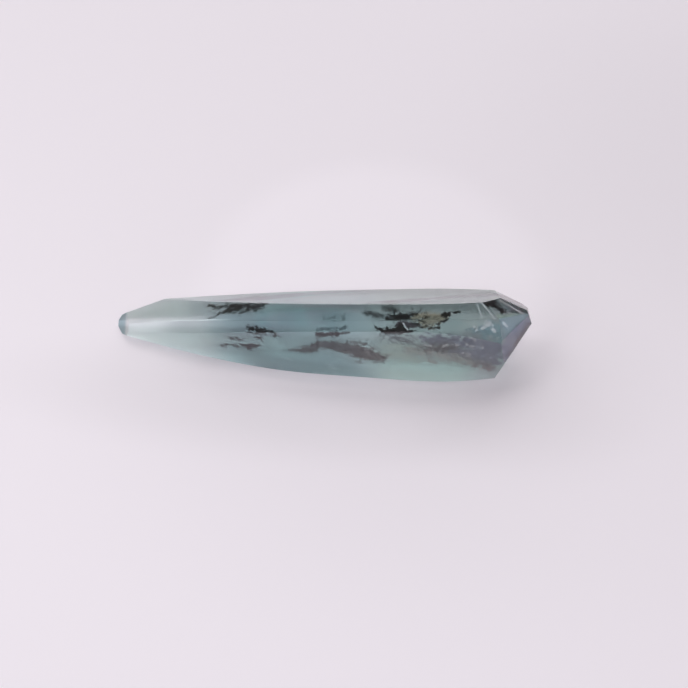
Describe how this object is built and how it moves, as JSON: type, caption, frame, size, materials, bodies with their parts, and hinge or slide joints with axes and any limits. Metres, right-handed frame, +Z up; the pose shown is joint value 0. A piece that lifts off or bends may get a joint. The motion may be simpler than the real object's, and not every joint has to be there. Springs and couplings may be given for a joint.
{
  "type": "cut opal point",
  "caption": "Faceted, polished point of translucent blue-green dendritic opal, tapering to a blunt tip, lying on a long flat resting facet.",
  "frame": {"origin": "centre of the bounding box's base, on the plane of the resting facet", "axes": "+X along the stone from the blunt tip to the faceted point, -Y the front that the picture shows, +Z up from the resting facet"},
  "size_m": [0.0502, 0.011, 0.0089],
  "materials": {
    "opal": "polished translucent blue-green opal, with black and brown fern-like inclusions and a purple-grey cloud near the point"
  },
  "bodies": {
    "root": {"opal": "opal"}
  },
  "joints": []
}
